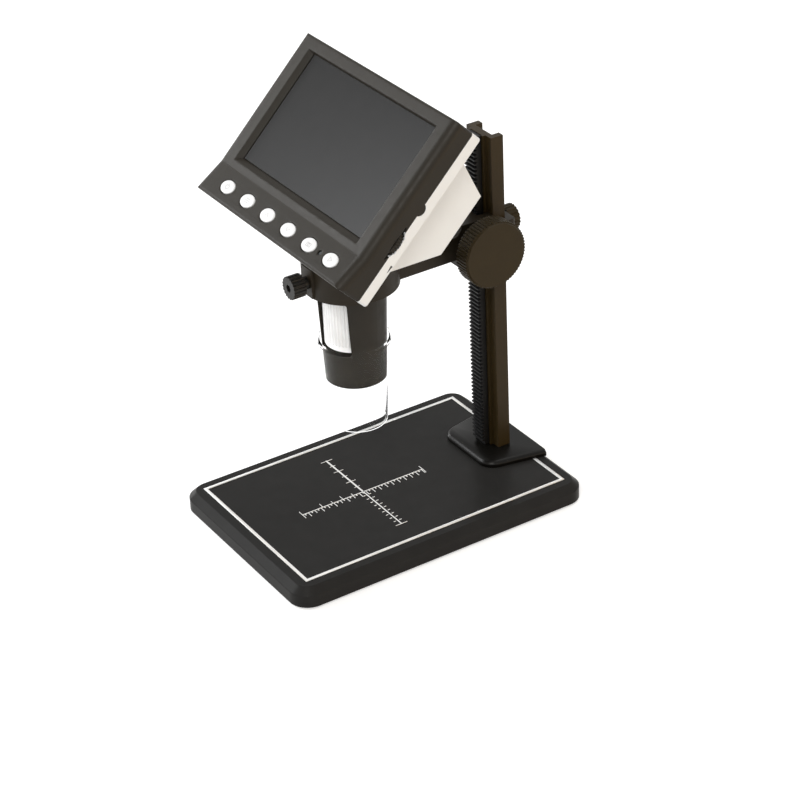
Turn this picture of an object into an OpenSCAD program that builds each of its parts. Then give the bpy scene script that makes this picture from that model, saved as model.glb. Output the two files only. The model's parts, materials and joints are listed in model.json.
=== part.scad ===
// Digital microscope: a tilted screen head on a lens barrel, clamped in the arm
// of a rack-and-pinion stand. +X is the user's right, -Y is the user's side and
// +Z is up. The origin is the middle of the base plate, on the table.

/* [Base plate] */
// Width of the base plate, side to side
base_w = 107.2; // [104:0.2:124]
// Length of the base plate, front to back
base_l = 153.4; // [151:0.2:170]
// Thickness of the base plate
base_t = 9; // [7:0.5:14]
// Radius of the base plate's corners
base_corner_r = 9.6; // [6:0.2:14]
// How far the bevel runs in over the top edge
base_bevel_run = 3.4; // [2:0.1:5]
// How far the bevel drops down the side
base_bevel_drop = 3.2; // [2:0.1:4.5]
// Radius of a rubber foot
rubber_foot_r = 6; // [4:0.5:8]
// How far a rubber foot stands out under the plate
rubber_foot_proud = 1; // [0.6:0.1:3]

/* [Printed scale] */
// Thickness of the printed lines
print_t = 0.2; // [0.1:0.05:0.4]
// Width of the frame line round the stage
frame_line_w = 1.5; // [0.8:0.1:2.5]
// Distance from the edge of the flat top to the middle of the frame line
frame_line_inset = 4.9; // [3:0.1:8]
// Half length of each arm of the cross scale
cross_reach = 32.4; // [20:0.2:38]
// Distance between neighbouring long marks
cross_step = 3.24; // [2.5:0.02:5]

/* [Column] */
// Height of the column above its foot
column_h = 158.2; // [150:0.2:175]
// Width of the column
column_w = 19; // [18:0.2:22]
// Depth of the column's two flanges, front to back
column_d = 6.4; // [6:0.1:8]
// Width of the channel down the column's back
channel_w = 12.6; // [11:0.2:13.2]
// Depth of that channel
channel_d = 3.7; // [3:0.1:4.2]
// Distance from the middle of the base to the column's front face
column_y = 57.8; // [56:0.2:60]
// Thickness of the column's foot
column_foot_t = 3.2; // [2.4:0.2:5]

/* [Rack and pinion] */
// Distance between rack teeth
tooth_pitch = 2; // [1.8:0.05:2.1]
// Number of pinion teeth
pinion_teeth = 12; // [11:1:13]
// Width of the rack
rack_w = 8; // [6:0.2:9]
// Radius of the pinion shaft
shaft_r = 2; // [1.5:0.1:2.4]
// Radius of the height knob
height_knob_r = 15.8; // [12:0.2:17]
// Thickness of the height knob
height_knob_t = 8.4; // [6:0.2:11]
// Number of grips round the height knob
height_knob_grips = 64; // [40:2:80]

/* [Arm] */
// Distance from the lens axis to the column's front face
lens_reach = 68.8; // [67:0.2:72]
// Height of the arm's underside above the table
arm_z = 118.2; // [116:0.2:124]
// Height of the arm
arm_h = 11; // [8:0.2:13]
// Width of the arm
arm_w = 19.5; // [17:0.5:20]
// Height of the clamp collar
collar_h = 14.8; // [12:0.2:16]
// Wall of the clamp collar
collar_wall = 5.9; // [4:0.1:6.4]

/* [Barrel] */
// Radius of the barrel where the collar grips it
barrel_r = 15.55; // [15:0.05:16]
// Radius of the barrel at its lower end
barrel_low_r = 13.7; // [13.5:0.05:14.2]
// Height of the barrel's lower end above the table
barrel_z = 73; // [70:0.5:76]
// Height of the bottom of the finger windows
window_z = 89.5; // [88.5:0.1:90]
// Height of the finger windows
window_h = 26.3; // [22:0.1:27]
// Width of the finger windows
window_w = 18.6; // [16:0.2:20]
// Turn of the finger windows round the barrel, from straight ahead
window_turn = 13; // [0:1:15]
// Radius of the focus ring over its ribs
focus_ring_r = 13.2; // [12.8:0.05:13.3]
// Number of ribs round the focus ring
focus_ribs = 48; // [36:2:60]
// Length of the clear hood
hood_l = 42; // [30:1:44]

/* [Screen head] */
// Width of the head
head_w = 119.4; // [118:0.2:128]
// Height of the head along the screen
head_h = 83.1; // [81:0.1:90]
// Lean of the screen back from upright
screen_lean = 45; // [43:0.5:47]
// Width of the black border at each side of the picture
picture_side = 12.1; // [11.2:0.1:15]
// Height of the black border over the picture
picture_over = 6.6; // [6:0.1:9]
// Height of the black border under the picture, with the buttons
picture_under = 22.3; // [21.5:0.1:24]
// Depth of the front bezel's side
bezel_d = 10.55; // [10:0.05:12]
// Radius of the bezel's long right edge
bezel_roll_r = 4.5; // [3:0.1:5]
// Radius of the bezel's long left edge
bezel_left_roll_r = 3.3; // [2.5:0.1:5]
// Wall of the head's two shells
shell_t = 2; // [1.6:0.1:2.2]
// Radius of a button cap
button_r = 3.7; // [2.6:0.05:3.8]
// Distance from the head's left edge to the middle of the first button
button_left = 18.8; // [17:0.1:20]
// Distance from the head's right edge to the middle of the last button
button_right = 15.4; // [15:0.1:18]
// How far a button can be pressed
button_travel = 0.8; // [0.4:0.1:0.9]
// Depth of the rear cover's rim
rim_d = 4.95; // [4.5:0.05:6]
// Distance from the head's edge to the hump on the rear cover
hump_side = 13.7; // [12:0.1:16]
// Depth of the hump behind the rim
hump_d = 29.8; // [29:0.1:30.5]

/* [Hidden] */

// Roundness of turned surfaces
$fn = 64;
// Overrun of every cut past the face it opens
over = 1;
// Gap of a running fit round a shaft
run_gap = 0.05;
// Gap all round a part that sits in a pocket
seat_gap = 0.1;
// Gap between parts that pass each other
free_gap = 0.3;

// Heights of the base and the column
base_z = rubber_foot_proud;
base_top = base_z + base_t;
top_w = base_w - 2 * base_bevel_run;
top_l = base_l - 2 * base_bevel_run;
foot_top = base_top + column_foot_t;
column_top = foot_top + column_h;
column_back = column_y + column_d;
channel_y = column_back - channel_d;
lens_y = column_y - lens_reach;

// Rubber feet
rubber_foot_inset = 14;
rubber_foot_depth = 1;

// Foot of the column
foot_back_y = 74.4;
foot_back_w = 49.2;
foot_corner_r = 8;
foot_corner_x = 12;
foot_corner_y = 52.9;

// Screws from under the base into the column
foot_screw_r = 1.2;
foot_screw_head_r = 2.6;
foot_screw_head_t = 1.8;
foot_screw_key_r = 1.3;
foot_screw_key_d = 1.1;
foot_screw_sink = 4;
foot_screw_x = 3;
foot_screw_bite = 12;

// Rib down the column's front, and the rack let into it
rib_w = 10.6;
rib_d = 1.5;
rib_y = column_y - rib_d;
rack_seat_d = 0.4;
rack_back_y = rib_y + rack_seat_d;
rack_d = 4.2;
tooth_module = tooth_pitch / PI;
rack_tip_y = rack_back_y - rack_d;
rack_line_y = rack_tip_y + tooth_module;
dedendum_share = 1.25;
rack_root_y = rack_line_y + dedendum_share * tooth_module;
pressure_angle = 20;
backlash = 0.12;
rack_end_gap = 0.3;
foot_screw_y = (rack_back_y + channel_y) / 2;
rack_z0 = foot_top + rack_end_gap;
rack_z1 = column_top - rack_end_gap;

// Pinion, shifted outwards so that its few teeth stay thick at the root
shift_share = 0.3;
pinion_pitch_r = tooth_pitch * pinion_teeth / (2 * PI);
pinion_base_r = pinion_pitch_r * cos(pressure_angle);
pinion_tip_r = pinion_pitch_r + tooth_module;
pinion_root_r = pinion_pitch_r - (dedendum_share - shift_share) * tooth_module;
pinion_y = rack_line_y - pinion_pitch_r - shift_share * tooth_module;
pinion_lift = 4.8;
pinion_z = arm_z + pinion_lift;
pinion_w = rack_w + 2 * free_gap;
flank_steps = 4;

// Carriage part of the arm
carriage_low_drop = 8.2;
carriage_low_z = arm_z - carriage_low_drop;
carriage_h = 21;
carriage_side = 3;
carriage_w = column_w + 2 * carriage_side;
carriage_strap = 3.8;
carriage_back_y = column_back + carriage_strap;
carriage_nose = 8;
carriage_front_y = pinion_y - carriage_nose;
arm_fillet_r = 5;
block_drop = 6.2;
block_z = arm_z - block_drop;
block_h = block_drop + arm_h + arm_fillet_r;
guide_gap = 0.1;
housing_r = 7.4;
edge_r = 1.5;
tongue_w = channel_w - 2 * free_gap;
tongue_h = 11;
lock_lift = 6.8;
lock_z = arm_z + lock_lift;

// Bush, clip and knob on the pinion shaft
bush_r = 5;
bush_flange_r = 6.6;
bush_flange_t = 1.2;
clip_r = 4;
clip_t = 0.7;
clip_groove = 0.4;
clip_mouth_share = 0.8;
shaft_tail = 2.6;
knob_hub_r = 6;
knob_hub_t = 2.2;
knob_back_x = carriage_w / 2 + bush_flange_t + free_gap + knob_hub_t;
knob_rim_t = 0.7;
knob_grip_depth = 0.5;
knob_face_r = height_knob_r - knob_grip_depth - run_gap;
knob_floor_t = 2.2;
set_screw_r = 1.4;
set_screw_l = 6;

// Lock screw behind the column and clamp screw on the collar
screw_r = 2;
screw_neck_r = 2.9;
lock_head_r = 6;
lock_head_t = 5.5;
lock_neck_t = 1.4;
clamp_head_r = 5.3;
clamp_head_t = 6.2;
clamp_neck_t = 2.6;
clamp_lift = 7.8;
clamp_z = arm_z + clamp_lift;
clamp_socket_r = 1.9;
clamp_socket_d = 3;
screw_grips = 20;
screw_grip_depth = 0.45;
// Points of one grip, as shares of its step and of its depth
grip_shares = [[0, 1], [0.25, 0], [0.6, 0], [0.85, 1]];
pad_w = 7.6;
pad_t = 2.2;

// Collar
collar_r = barrel_r + run_gap + collar_wall;
collar_boss_w = 8.4;
collar_boss_out = 0.6;
collar_boss_in = 6;
collar_boss_inset = 0.6;
collar_lift = 0.8;
collar_z = arm_z + collar_lift;

// Barrel and what it holds
barrel_cone_top = arm_z;
flange_flat = 16.6;
barrel_bore_r = focus_ring_r + free_gap;
ledge_h = 1.2;
ledge_z = window_z + ledge_h;
ledge_r = 11.6;
nose_bore_r = 12;
nose_bore_h = 6;
window_corner_r = 1.2;
barrel_flange_r = 18;
barrel_flange_t = 1.6;
ring_z = ledge_z + free_gap;
ring_h = 26.2;
ring_band_h = 2.4;
ring_bore_r = 10.6;
rib_depth = 0.6;
tube_z = ring_z + ring_h + free_gap;
tube_wall = 1.6;
tube_r = barrel_bore_r - seat_gap;
cell_r = ring_bore_r - run_gap;
cell_z = 88;
cell_h = 20;
cell_bore_r = 8;
lens_r = 7.9;
lens_t = 3.2;
lens_dome_t = 1.2;
lens_seat_r = 7;
lens_seat_t = 2.4;
light_board_t = 1.2;
light_board_hole_r = 5.5;
lamp_r = 1.3;
lamp_t = 1.2;
lamp_ring_r = 8.7;
lamp_count = 8;
lens_window_t = 1.2;
lens_window_rise = 0.8;
sensor_board_t = 1.2;
sensor_w = 8;
sensor_t = 1;

// Clear hood: a cone that slips over the barrel's end
hood_wall = 0.7;
hood_rise = 19;
hood_slope_share = 0.0737;
hood_z = barrel_z + hood_rise - hood_l;
hood_low_r = barrel_low_r + free_gap - hood_slope_share * (barrel_z - hood_z);
hood_top_r = hood_low_r + hood_slope_share * hood_l;
hood_lip_t = 1.4;
hood_lip_out = 0.35;

// Head: local x across, y up along the screen, z out of the screen, from the picture's middle
screen_y = -14;
screen_z = 186.3;
picture_w = head_w - 2 * picture_side;
picture_h = head_h - picture_over - picture_under;
bezel_front = 2.3;
seam_z = bezel_front - bezel_d;
rim_z = seam_z - rim_d;
hump_z = rim_z - hump_d;
head_top = picture_h / 2 + picture_over;
head_low = head_top - head_h;
head_corner_r = 1.6;
edge_roll_r = 1.2;
arc_steps = 4;
strip_h = 15.9;
strip_top = head_low + strip_h;
strip_reach = 3 * strip_h;
strip_lean = 10;
opening_side = 2.8;
opening_top = 0.8;
opening_low = 3;
button_rise = 7.9;
button_count = 6;
button_pitch = (head_w - button_left - button_right) / (button_count - 1);
button_mid_x = (button_left - button_right) / 2;
button_y = head_low + button_rise;
button_z = bezel_front + (strip_top - button_y) * tan(strip_lean);
button_gap = 0.4;
button_proud = 0.4;
button_flange_r = 4.8;
button_flange_t = 0.8;
button_stem_r = 1.2;
button_stem_t = 0.6;
front_wall = bezel_front * cos(strip_lean);
indicator_r = 1.1;
indicator_sink = 0.5;
indicator_x = button_mid_x + 2 * button_pitch;

// Screen stack and boards
glass_t = 1;
glass_margin = 3.4;
lcd_margin = 5.1;
lcd_over = 4.2;
lcd_under = 8.1;
lcd_w = picture_w + 2 * lcd_margin;
lcd_low = -picture_h / 2 - lcd_under;
lcd_top = picture_h / 2 + lcd_over;
lcd_t = 3.6;
board_gap = 1.7;
board_under = 2.9;
board_short = 1.3;
board_w = head_w - 2 * shell_t - 2 * board_gap;
board_low = -picture_h / 2 - board_under;
board_top = picture_h / 2 - board_short;
board_t = 1.6;
board_z = -glass_t - lcd_t - free_gap;
board_back = board_z - board_t;
hump_w = head_w - 2 * hump_side;
battery_side = 16;
battery_w = hump_w - 2 * battery_side;
battery_h = 22;
battery_t = 7.4;
battery_low = -8.4;
switch_w = 5;
switch_t = 1.5;
switch_z = -front_wall - free_gap - button_flange_t - button_stem_t - button_travel - free_gap;
button_board_h = 8;
button_board_end = 7.6;
button_board_w = (button_count - 1) * button_pitch + 2 * button_board_end;
button_board_t = 1.2;
button_post_r = 1.8;
usb_y = -12;
usb_w = 7.6;
usb_h = 2.8;
usb_l = 6.5;
usb_tongue_w = 5.4;
usb_tongue_t = 0.7;
usb_tongue_z = board_back - (usb_h + usb_tongue_t) / 2;
card_y = 10;
card_w = 13;
card_h = 1.8;
card_l = 14;
socket_back = 0.8;
socket_room = 0.4;
socket_wall = 0.35;
dimmer_y = -21;
dimmer_r = 8;
dimmer_t = 2.5;
dimmer_out = 0.5;
dimmer_grips = 36;
dimmer_bore_r = 2;
dimmer_pot_r = 4.5;
dimmer_pot_t = 1.2;
dimmer_z = board_back - free_gap - dimmer_t;
dimmer_room = 0.4;
scallop_r = 11.9;
scallop_z = 2;
scallop_d = 1;
scallop_top = -6.6;
tab_y = -4;
tab_r = 2.95;
tab_t = 1.2;
tab_rise = 0.95;
side_hole_d = 1.2;
side_hole_r = 0.8;
side_hole_off = 6;
side_hole_z = -7.4;

// Rear cover and its screws
hump_low_y = -13.9;
hump_under = 11.4;
hump_high_y = picture_h / 2 - hump_under;
hump_slant_share = 0.3624;
hump_floor = screen_z + hump_low_y * sin(screen_lean) + hump_z * cos(screen_lean) + shell_t;
barrel_top = hump_floor + barrel_flange_t;
cover_post_r = 2.3;
cover_post_x = head_w / 2 - shell_t - cover_post_r + seat_gap;
cover_post_inset = 5.1;
cover_post_rise = 5.4;
cover_post_top = head_top - cover_post_inset;
cover_post_low = head_low + cover_post_rise;
cover_screw_r = 1;
cover_screw_head_r = 1.8;
cover_screw_head_t = 1.2;
cover_screw_bite = 6;
cross_l = 2.2;
cross_w = 0.5;
cross_d = 0.7;

// Thickness of a pinion tooth on the pitch circle
tooth_thick = (PI / 2 + 2 * shift_share * tan(pressure_angle)) * tooth_module - backlash;

// Printed marks, as shares of their spacing
line_share = 0.16;
arm_line_share = 1.6;
mark_line_share = 0.6;
mark_share = 1.1;
minor_share = 0.45;
coarse_shares = [0.7, 1.3];
coarse_marks = 5;

// Shared shapes

module rounded_rect(w, l, r) {
  square([w - 2 * r, l], center = true);
  square([w, l - 2 * r], center = true);
  for (sx = [-1, 1], sy = [-1, 1])
    translate([sx * (w / 2 - r), sy * (l / 2 - r)]) circle(r);
}

// Slab with rounded corners and one bevel round its top
module bevelled_slab(w, l, t, r, run, drop) {
  linear_extrude(t - drop) rounded_rect(w, l, r);
  translate([0, 0, t - drop]) {
    rotate([90, 0, 0]) linear_extrude(l - 2 * r, center = true) trapezoid(w, w - 2 * run, drop);
    rotate([90, 0, 90]) linear_extrude(w - 2 * r, center = true) trapezoid(l, l - 2 * run, drop);
    for (sx = [-1, 1], sy = [-1, 1])
      translate([sx * (w / 2 - r), sy * (l / 2 - r), 0]) cylinder(h = drop, r1 = r, r2 = r - run);
  }
}

module trapezoid(low, high, h) {
  polygon([[-low / 2, 0], [low / 2, 0], [high / 2, h], [-high / 2, h]]);
}

// Disc outline with straight-sided grips round it
module grip_outline(r, depth, count) {
  step = 360 / count;
  polygon([for (i = [0 : count - 1], e = grip_shares)
    (r - e[1] * depth) * [cos((i + e[0]) * step), sin((i + e[0]) * step)]]);
}

module tube(h, ro, ri) {
  difference() {
    cylinder(h = h, r = ro);
    translate([0, 0, -over]) cylinder(h = h + 2 * over, r = ri);
  }
}

// Places its children in the head's own frame
module at_head() {
  translate([0, screen_y, screen_z]) rotate([screen_lean, 0, 0]) children();
}

// Places its children on the button strip, z out of the strip
module at_strip(x = 0) {
  at_head() translate([x, button_y, button_z]) rotate([-strip_lean, 0, 0]) children();
}

module at_lens_axis(z = 0) {
  translate([0, lens_y, z]) children();
}

// Runs its children's z along +X at the pinion
module along_shaft(x = 0) {
  translate([x, pinion_y, pinion_z]) rotate([0, 90, 0]) children();
}

// Base

module base_plate() {
  color("#1c1c1e") difference() {
    translate([0, 0, base_z])
      bevelled_slab(base_w, base_l, base_t, base_corner_r, base_bevel_run, base_bevel_drop);
    at_rubber_feet() translate([0, 0, -over])
      cylinder(h = over + rubber_foot_depth, r = rubber_foot_r + seat_gap);
    at_foot_screws(base_z - over) {
      cylinder(h = base_t + 2 * over, r = foot_screw_r + seat_gap);
      cylinder(h = foot_screw_sink + over, r = foot_screw_head_r + seat_gap);
    }
  }
}

module at_rubber_feet() {
  for (sx = [-1, 1], sy = [-1, 1])
    translate([sx * (base_w / 2 - rubber_foot_inset), sy * (base_l / 2 - rubber_foot_inset), base_z])
      children();
}

module at_foot_screws(z) {
  for (sx = [-1, 1]) translate([sx * foot_screw_x, foot_screw_y, z]) children();
}

module rubber_feet() {
  color("#2b2b2b") at_rubber_feet() translate([0, 0, -rubber_foot_proud])
    cylinder(h = rubber_foot_proud + rubber_foot_depth, r = rubber_foot_r);
}

// White frame line and cross scale on the plate
module scale_print() {
  line_w = top_w - 2 * frame_line_inset;
  line_l = top_l - 2 * frame_line_inset;
  color("#f2f2f0") translate([0, 0, base_top]) linear_extrude(print_t) {
    difference() {
      square([line_w + frame_line_w, line_l + frame_line_w], center = true);
      square([line_w - frame_line_w, line_l - frame_line_w], center = true);
      foot_outline();
    }
    translate([0, lens_y]) cross_scale();
  }
}

module cross_scale() {
  fine = line_share * cross_step;
  mark_w = mark_line_share * fine;
  mark_l = mark_share * cross_step;
  marks = floor(cross_reach / cross_step);
  square([2 * cross_reach, arm_line_share * fine], center = true);
  square([fine, 2 * cross_reach], center = true);
  for (s = [-1, 1]) {
    translate([s * cross_reach, 0]) square([fine, 2 * mark_l], center = true);
    translate([0, s * cross_reach]) square([2 * mark_l, fine], center = true);
    for (i = [1 : marks - 1]) {
      translate([0, s * i * cross_step]) square([mark_l, mark_w]);
      for (j = [1, 2]) translate([0, s * (i - j / 3) * cross_step])
        square([minor_share * mark_l, mark_w]);
    }
  }
  for (i = [2 : marks - 1])
    translate([i * cross_step, 0]) square([mark_w, mark_l], center = true);
  for (i = [1 : coarse_marks])
    translate([-i * cross_reach / (coarse_marks + 1), 0])
      square([mark_w, coarse_shares[(i + 1) % 2] * mark_l], center = true);
}

// Column

// Plate with a narrow rounded front and a wide straight back
module foot_outline() {
  reach = [foot_back_w / 2 - foot_corner_x, foot_back_y - foot_corner_y];
  turn = atan2(reach[1], reach[0]) - acos(foot_corner_r / norm(reach));
  side = [foot_corner_x, foot_corner_y] + foot_corner_r * [cos(turn), sin(turn)];
  front = foot_corner_y - foot_corner_r;
  right = [[foot_corner_x, front], side, [foot_back_w / 2, foot_back_y]];
  left = [for (i = [2 : -1 : 0]) [-right[i][0], right[i][1]]];
  polygon(concat(right, left));
  for (s = [-1, 1]) translate([s * foot_corner_x, foot_corner_y]) circle(foot_corner_r);
}

module column_foot() {
  color("#202022") difference() {
    translate([0, 0, base_top]) linear_extrude(column_foot_t) foot_outline();
    at_foot_screws(base_top - over)
      cylinder(h = column_foot_t + 2 * over, r = foot_screw_r + seat_gap);
  }
}

module column_outline() {
  half = [
    [channel_w / 2, channel_y], [channel_w / 2, column_back], [column_w / 2, column_back],
    [column_w / 2, column_y], [rib_w / 2, column_y], [rib_w / 2, rib_y],
    [rack_w / 2 + run_gap, rib_y], [rack_w / 2 + run_gap, rack_back_y]
  ];
  polygon(concat(half, [for (i = [len(half) - 1 : -1 : 0]) [-half[i][0], half[i][1]]]));
}

module column() {
  color("#1f1f21") difference() {
    translate([0, 0, foot_top]) linear_extrude(column_h) column_outline();
    at_foot_screws(foot_top - over) cylinder(h = over + foot_screw_bite, r = foot_screw_r + run_gap);
  }
}

module foot_screws() {
  head_z = base_z + foot_screw_sink - foot_screw_head_t;
  color("#8a8a8c") at_foot_screws(head_z) difference() {
    union() {
      cylinder(h = foot_screw_head_t, r = foot_screw_head_r);
      cylinder(h = foot_top + foot_screw_bite - over - head_z, r = foot_screw_r);
    }
    translate([0, 0, -over]) cylinder(h = over + foot_screw_key_d, r = foot_screw_key_r, $fn = 6);
  }
}

// Straight rack: one profile of teeth, as wide as the rack
module rack() {
  down = floor((pinion_z - rack_z0) / tooth_pitch);
  up = floor((rack_z1 - pinion_z) / tooth_pitch);
  slope = tan(pressure_angle);
  root = tooth_pitch / 4 + dedendum_share * tooth_module * slope;
  tip = tooth_pitch / 4 - tooth_module * slope;
  teeth = [for (i = [-down : up - 1]) let (z = pinion_z + (i + 0.5) * tooth_pitch)
    each [[rack_root_y, z - root], [rack_tip_y, z - tip], [rack_tip_y, z + tip], [rack_root_y, z + root]]];
  color("#151517") rotate([90, 0, 90]) linear_extrude(rack_w, center = true)
    polygon(concat([[rack_back_y, rack_z0], [rack_root_y, rack_z0]], teeth,
      [[rack_root_y, rack_z1], [rack_back_y, rack_z1]]));
}

// Arm, collar and carriage in one casting
module arm_bracket() {
  color("#1e1e20") {
    difference() {
      union() {
        at_lens_axis(collar_z) cylinder(h = collar_h, r = collar_r);
        translate([-collar_boss_w / 2, lens_y - collar_r - collar_boss_out, collar_z + collar_boss_inset])
          cube([collar_boss_w, collar_boss_out + collar_boss_in, collar_h - 2 * collar_boss_inset]);
        translate([-arm_w / 2, lens_y, arm_z])
          cube([arm_w, carriage_front_y - lens_y + edge_r, arm_h]);
        arm_fillet();
        carriage_body();
      }
      at_lens_axis(arm_z - over) cylinder(h = collar_lift + collar_h + 2 * over, r = barrel_r + run_gap);
      translate([0, lens_y, clamp_z]) rotate([90, 0, 0])
        cylinder(h = collar_r + collar_boss_out + over, r = screw_r + run_gap);
      column_pocket();
      along_shaft(-carriage_w) cylinder(h = carriage_w, r = shaft_r + run_gap);
      along_shaft(-pinion_w / 2 - free_gap)
        cylinder(h = pinion_w + 2 * free_gap, r = pinion_tip_r + free_gap);
      along_shaft(0) cylinder(h = carriage_w, r = bush_r + run_gap);
      lock_bore();
    }
    brake_tongue();
  }
}

module arm_fillet() {
  translate([0, carriage_front_y, arm_z + arm_h]) rotate([90, 0, -90])
    linear_extrude(arm_w, center = true) difference() {
      translate([-edge_r, -edge_r]) square(arm_fillet_r + edge_r);
      translate([arm_fillet_r, arm_fillet_r]) circle(arm_fillet_r);
    }
}

// Block in front of the column, cheeks and strap round it, and the round housing of the pinion
module carriage_body() {
  translate([-arm_w / 2, carriage_front_y, block_z])
    cube([arm_w, column_y - carriage_front_y, block_h]);
  translate([0, (pinion_y + carriage_back_y) / 2, carriage_low_z])
    linear_extrude(carriage_h)
      rounded_rect(carriage_w, carriage_back_y - pinion_y, edge_r);
  along_shaft(-carriage_w / 2) cylinder(h = carriage_w, r = housing_r);
}

module column_pocket() {
  low = carriage_low_z - over;
  tall = block_z + block_h - low + over;
  translate([-column_w / 2 - guide_gap, column_y - guide_gap, low])
    cube([column_w + 2 * guide_gap, column_d + 2 * guide_gap, tall]);
  translate([-rib_w / 2 - guide_gap, rack_tip_y - free_gap, low])
    cube([rib_w + 2 * guide_gap, column_y - rack_tip_y + free_gap, tall]);
}

// Tongue that runs in the channel and holds the brake pad
module brake_tongue() {
  difference() {
    translate([-tongue_w / 2, channel_y + free_gap, lock_z - tongue_h / 2])
      cube([tongue_w, column_back + guide_gap + run_gap - channel_y - free_gap, tongue_h]);
    translate([-pad_w / 2 - seat_gap, channel_y, lock_z - pad_w / 2 - seat_gap])
      cube([pad_w + 2 * seat_gap, channel_d, pad_w + 2 * seat_gap]);
    lock_bore();
  }
}

// Hole for the lock screw, through the tongue and the strap
module lock_bore() {
  translate([0, channel_y, lock_z]) rotate([-90, 0, 0])
    cylinder(h = carriage_back_y + over - channel_y, r = screw_r + run_gap);
}

module brake_pad() {
  color("#d8d4c8") translate([-pad_w / 2, channel_y + free_gap, lock_z - pad_w / 2])
    cube([pad_w, pad_t, pad_w]);
}

module shaft_bush() {
  tail = pinion_w / 2 + free_gap;
  color("#b08a4a") difference() {
    union() {
      along_shaft(tail) cylinder(h = carriage_w / 2 - tail, r = bush_r);
      along_shaft(carriage_w / 2) cylinder(h = bush_flange_t, r = bush_flange_r);
    }
    along_shaft(0) cylinder(h = carriage_w, r = shaft_r + run_gap);
  }
}

// Flank angle of the pinion at radius r, from the middle of a tooth
function involute(a) = tan(a) * 180 / PI - a;
function flank(r) = tooth_thick / (2 * pinion_pitch_r) * 180 / PI + involute(pressure_angle)
  - involute(acos(min(1, pinion_base_r / r)));

module pinion_outline() {
  step = 360 / pinion_teeth;
  radii = [pinion_root_r, for (i = [0 : flank_steps])
    pinion_base_r + (pinion_tip_r - pinion_base_r) * i / flank_steps];
  rising = [for (r = radii) [r, -flank(max(r, pinion_base_r))]];
  falling = [for (i = [len(radii) - 1 : -1 : 0]) [radii[i], -rising[i][1]]];
  polygon([for (t = [0 : pinion_teeth - 1], p = concat(rising, falling))
    p[0] * [cos(t * step + p[1]), sin(t * step + p[1])]]);
}

module pinion_shaft() {
  left_x = -carriage_w / 2 - shaft_tail;
  groove_x = -carriage_w / 2 - free_gap - clip_t;
  color("#a9abad") difference() {
    union() {
      along_shaft(left_x) cylinder(h = knob_back_x + height_knob_t - knob_floor_t - left_x, r = shaft_r);
      along_shaft(-pinion_w / 2) rotate(90) linear_extrude(pinion_w) pinion_outline();
    }
    along_shaft(groove_x - run_gap) tube(clip_t + 2 * run_gap, shaft_r + over, shaft_r - clip_groove);
  }
}

module shaft_clip() {
  bore_r = shaft_r - clip_groove + run_gap;
  mouth = 2 * clip_mouth_share * bore_r;
  color("#6f7072") along_shaft(-carriage_w / 2 - free_gap - clip_t)
    linear_extrude(clip_t) difference() {
      circle(clip_r);
      circle(bore_r);
      translate([0, -mouth / 2]) square([clip_r + over, mouth]);
    }
}

// Knurled knob with a plain face
module height_knob() {
  grip_t = height_knob_t - knob_rim_t;
  color("#1b1b1d") difference() {
    union() {
      along_shaft(knob_back_x - knob_hub_t) cylinder(h = knob_hub_t, r = knob_hub_r);
      along_shaft(knob_back_x) linear_extrude(grip_t)
        grip_outline(height_knob_r, knob_grip_depth, height_knob_grips);
      along_shaft(knob_back_x + grip_t)
        cylinder(h = knob_rim_t, r1 = knob_face_r, r2 = knob_face_r - knob_rim_t / 2);
    }
    along_shaft(knob_back_x - knob_hub_t - over)
      cylinder(h = knob_hub_t + over + height_knob_t - knob_floor_t, r = shaft_r + run_gap);
    at_set_screw() cylinder(h = height_knob_r, r = set_screw_r);
  }
}

module at_set_screw() {
  translate([knob_back_x + height_knob_t / 3, pinion_y, pinion_z - shaft_r]) rotate([180, 0, 0])
    children();
}

module knob_set_screw() {
  color("#77787a") difference() {
    at_set_screw() translate([0, 0, run_gap]) cylinder(h = set_screw_l, r = set_screw_r - run_gap);
    at_set_screw() translate([0, 0, set_screw_l / 2])
      cylinder(h = set_screw_l, r = set_screw_r / 2, $fn = 6);
  }
}

module lock_screw() {
  tip_y = channel_y + free_gap + pad_t + free_gap;
  neck_y = carriage_back_y + free_gap;
  color("#1c1c1e") {
    translate([0, tip_y, lock_z]) rotate([-90, 0, 0])
      cylinder(h = neck_y + lock_neck_t - tip_y, r = screw_r);
    translate([0, neck_y, lock_z]) rotate([-90, 0, 0]) cylinder(h = lock_neck_t, r = screw_neck_r);
    translate([0, neck_y + lock_neck_t, lock_z]) rotate([-90, 0, 0])
      linear_extrude(lock_head_t) grip_outline(lock_head_r, screw_grip_depth, screw_grips);
  }
}

module clamp_screw() {
  tip_y = lens_y - barrel_r - free_gap;
  neck_y = lens_y - collar_r - collar_boss_out - free_gap;
  head_y = neck_y - clamp_neck_t;
  color("#1c1c1e") difference() {
    union() {
      translate([0, tip_y, clamp_z]) rotate([90, 0, 0]) cylinder(h = tip_y - head_y, r = screw_r);
      translate([0, neck_y, clamp_z]) rotate([90, 0, 0]) cylinder(h = clamp_neck_t, r = screw_neck_r);
      translate([0, head_y, clamp_z]) rotate([90, 0, 0])
        linear_extrude(clamp_head_t) grip_outline(clamp_head_r, screw_grip_depth, screw_grips);
    }
    translate([0, head_y - clamp_head_t + clamp_socket_d, clamp_z]) rotate([90, 0, 0])
      cylinder(h = clamp_socket_d + over, r = clamp_socket_r, $fn = 6);
  }
}

// Barrel

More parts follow.
